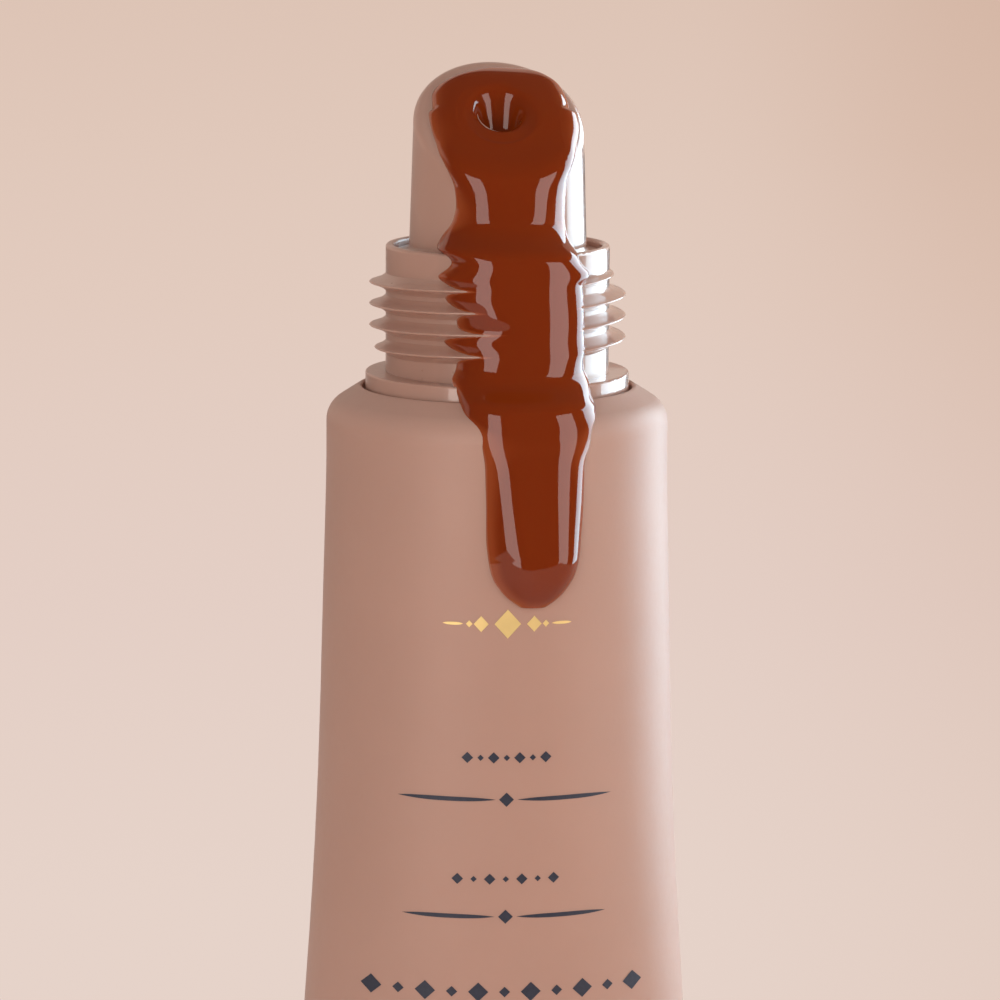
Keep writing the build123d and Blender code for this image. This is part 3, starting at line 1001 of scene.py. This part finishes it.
def stage_finish(name, color):
    """Matt stage. Close to the tube it takes light and shadow, and further off it glows with its own colour,
    into which painted shade is mixed: darker farther back and higher up, and across its right side.
    """
    material, tree, shader = new_finish(name)
    place = add_node(tree, "ShaderNodeTexCoord")
    parts = add_node(tree, "ShaderNodeSeparateXYZ")
    tree.links.new(place.outputs["Object"], parts.inputs[0])
    away = add_node(tree, "ShaderNodeMath", operation="ADD")
    tree.links.new(parts.outputs["Y"], away.inputs[0])
    tree.links.new(parts.outputs["Z"], away.inputs[1])
    # painted shade: the stage's colour grows darker farther back and higher up
    ramp = add_node(tree, "ShaderNodeValToRGB")
    tree.links.new(away.outputs[0], ramp.inputs["Fac"])
    ramp.color_ramp.elements[0].position = STAGE_PAINTED_SHADE[0][0]
    ramp.color_ramp.elements[1].position = STAGE_PAINTED_SHADE[-1][0]
    for at, _ in STAGE_PAINTED_SHADE[1:-1]:
        ramp.color_ramp.elements.new(at)
    for element, (_, share) in zip(ramp.color_ramp.elements, STAGE_PAINTED_SHADE):
        element.color = (*(c * f for c, f in zip(color, share)), 1)
    # painted shade: a broad soft darkening mixed into the colour across the stage's right side
    painted_shade_line = add_node(tree, "ShaderNodeMath", operation="MULTIPLY_ADD")
    tree.links.new(parts.outputs["Y"], painted_shade_line.inputs[0])
    painted_shade_line.inputs[1].default_value = -0.114
    tree.links.new(parts.outputs["X"], painted_shade_line.inputs[2])
    aside = add_node(tree, "ShaderNodeMapRange", interpolation_type="SMOOTHSTEP")
    aside.inputs["From Min"].default_value = 0.0
    aside.inputs["From Max"].default_value = 0.09
    tree.links.new(painted_shade_line.outputs[0], aside.inputs["Value"])
    painted_shade_mix = add_node(tree, "ShaderNodeMix", data_type="RGBA", blend_type="MULTIPLY")
    colors = color_sockets(painted_shade_mix.inputs)
    tree.links.new(aside.outputs["Result"], painted_shade_mix.inputs["Factor"])
    tree.links.new(ramp.outputs["Color"], colors[0])
    colors[1].default_value = PAINTED_SHADE_COLOR
    tone = color_sockets(painted_shade_mix.outputs)[0]
    tree.links.new(tone, shader.inputs["Base Color"])
    shader.inputs["Roughness"].default_value = 0.9
    glow = add_node(tree, "ShaderNodeEmission")
    tree.links.new(tone, glow.inputs["Color"])
    length = add_node(tree, "ShaderNodeVectorMath", operation="LENGTH")
    tree.links.new(place.outputs["Object"], length.inputs[0])
    far = add_node(tree, "ShaderNodeMapRange")
    far.inputs["From Min"].default_value = 0.05
    far.inputs["From Max"].default_value = 0.11
    tree.links.new(length.outputs["Value"], far.inputs["Value"])
    path = add_node(tree, "ShaderNodeLightPath")
    direct = add_node(tree, "ShaderNodeMath", operation="MAXIMUM")
    tree.links.new(path.outputs["Is Camera Ray"], direct.inputs[0])
    tree.links.new(path.outputs["Is Transmission Ray"], direct.inputs[1])
    mirrored = add_node(tree, "ShaderNodeMath", operation="MAXIMUM")
    tree.links.new(direct.outputs[0], mirrored.inputs[0])
    tree.links.new(path.outputs["Is Glossy Ray"], mirrored.inputs[1])
    seen = add_node(tree, "ShaderNodeMath", operation="MULTIPLY")
    tree.links.new(mirrored.outputs[0], seen.inputs[0])
    tree.links.new(far.outputs["Result"], seen.inputs[1])
    mix = add_node(tree, "ShaderNodeMixShader")
    tree.links.new(seen.outputs[0], mix.inputs["Fac"])
    tree.links.new(shader.outputs[0], mix.inputs[1])
    tree.links.new(glow.outputs[0], mix.inputs[2])
    tree.links.new(mix.outputs[0], tree.nodes["Material Output"].inputs["Surface"])
    return material


def area_light(name, azimuth, elevation, width, height, power, color):
    """A soft box that faces the sleeve's mouth. Azimuth 0 is in front, 90 degrees to the right."""
    target = Vector((0, 0, MOUTH))
    way = Vector((sin(azimuth) * cos(elevation), -cos(azimuth) * cos(elevation), sin(elevation)))
    data = bpy.data.lights.new(name, "AREA")
    data.shape = "RECTANGLE"
    data.size = width
    data.size_y = height
    data.energy = power
    data.color = color
    lamp = bpy.data.objects.new(name, data)
    bpy.context.scene.collection.objects.link(lamp)
    lamp.location = target + way * LAMP_DISTANCE
    lamp.rotation_euler = (-way).to_track_quat("-Z", "Y").to_euler()
    lamp.visible_camera = False


class GLOSSTUBE_OT_studio(bpy.types.Operator):
    """Sets up the floor, the backdrop, the lights and the camera"""

    bl_idname = "glosstube.studio"
    bl_label = "Studio"

    def execute(self, context):
        settings = context.scene.gloss_tube_studio
        color = tuple(settings.backdrop_color)
        floor_z = CAD_BOX[0].z - 0.1 * MM
        # the floor far from the tube doesn't show in mirrors, which keeps the gloss deep
        sides = (-STAGE_REACH, -FLOOR_NEAR, FLOOR_NEAR, STAGE_REACH)
        depths = (-STAGE_REACH, -FLOOR_NEAR, BACKDROP_Y)
        ground = [(across, along, floor_z) for along in depths for across in sides]
        panels = grid_faces(3, 4)
        near = panels.pop(4)
        wall = [
            (-STAGE_REACH, BACKDROP_Y, floor_z),
            (STAGE_REACH, BACKDROP_Y, floor_z),
            (STAGE_REACH, BACKDROP_Y, BACKDROP_TOP),
            (-STAGE_REACH, BACKDROP_Y, BACKDROP_TOP),
        ]
        stage = []
        for name, points, faces in (
            ("floor", [ground[i] for i in near], [(0, 1, 2, 3)]),
            ("floor_outer", ground, panels),
            ("backdrop", wall, [(0, 1, 2, 3)]),
        ):
            stage.append(link_mesh(name, points, faces, stage_finish(name, color), smooth=False))
        stage[1].visible_glossy = False

        for name, azimuth in (("strip_left", -33), ("strip_right", 55)):
            area_light(name, radians(azimuth), radians(0), 0.24, 0.46, 1.2, (1.0, 0.9, 0.85))
        area_light("softbox_back_right", radians(122), radians(2), 0.44, 0.52, 4.5, (0.66, 0.88, 1.0))

        world = bpy.data.worlds.new("studio_air")
        world.use_nodes = True
        air = world.node_tree.nodes["Background"]
        air.inputs["Color"].default_value = (1.0, 0.97, 0.95, 1)
        ray = add_node(world.node_tree, "ShaderNodeLightPath")
        level = ranged(world.node_tree, ray.outputs["Is Glossy Ray"], 0.555, 0.06)
        world.node_tree.links.new(level, air.inputs["Strength"])
        bpy.context.scene.world = world
        bpy.context.scene.view_settings.view_transform = "Standard"

        data = bpy.data.cameras.new("camera")
        data.lens = settings.focal_length
        data.clip_start = 0.01
        camera = bpy.data.objects.new("camera", data)
        camera.location = settings.camera_place
        camera.rotation_euler = settings.camera_turn
        bpy.context.scene.collection.objects.link(camera)
        bpy.context.scene.camera = camera
        return {"FINISHED"}


# ---- add-on ----------------------------------------------------------------------------------------

STEPS = ("plastic", "neck_thread", "crimp", "print", "gloss", "studio")


class GLOSSTUBE_PT_panel(bpy.types.Panel):
    """Lists the pieces of the tube"""

    bl_label = "Gloss Tube"
    bl_space_type = "VIEW_3D"
    bl_region_type = "UI"
    bl_category = "Gloss Tube"

    def draw(self, context):
        for step in STEPS:
            self.layout.operator(f"glosstube.{step}")


SETTINGS = {
    "gloss_tube_thread": NeckThreadSettings,
    "gloss_tube_crimp": CrimpSettings,
    "gloss_tube_print": PrintSettings,
    "gloss_tube_gloss": GlossSettings,
    "gloss_tube_plastic": PlasticSettings,
    "gloss_tube_studio": StudioSettings,
}
CLASSES = (
    *SETTINGS.values(),
    GLOSSTUBE_OT_plastic,
    GLOSSTUBE_OT_neck_thread,
    GLOSSTUBE_OT_crimp,
    GLOSSTUBE_OT_print,
    GLOSSTUBE_OT_gloss,
    GLOSSTUBE_OT_studio,
    GLOSSTUBE_PT_panel,
)


def register():
    for cls in CLASSES:
        bpy.utils.register_class(cls)
    for name, group in SETTINGS.items():
        setattr(bpy.types.Scene, name, PointerProperty(type=group))


def unregister():
    for name in SETTINGS:
        delattr(bpy.types.Scene, name)
    for cls in reversed(CLASSES):
        bpy.utils.unregister_class(cls)


def main():
    """Registers the add-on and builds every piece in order."""
    register()
    for step in STEPS:
        getattr(bpy.ops.glosstube, step)()


if __name__ == "__main__":
    main()
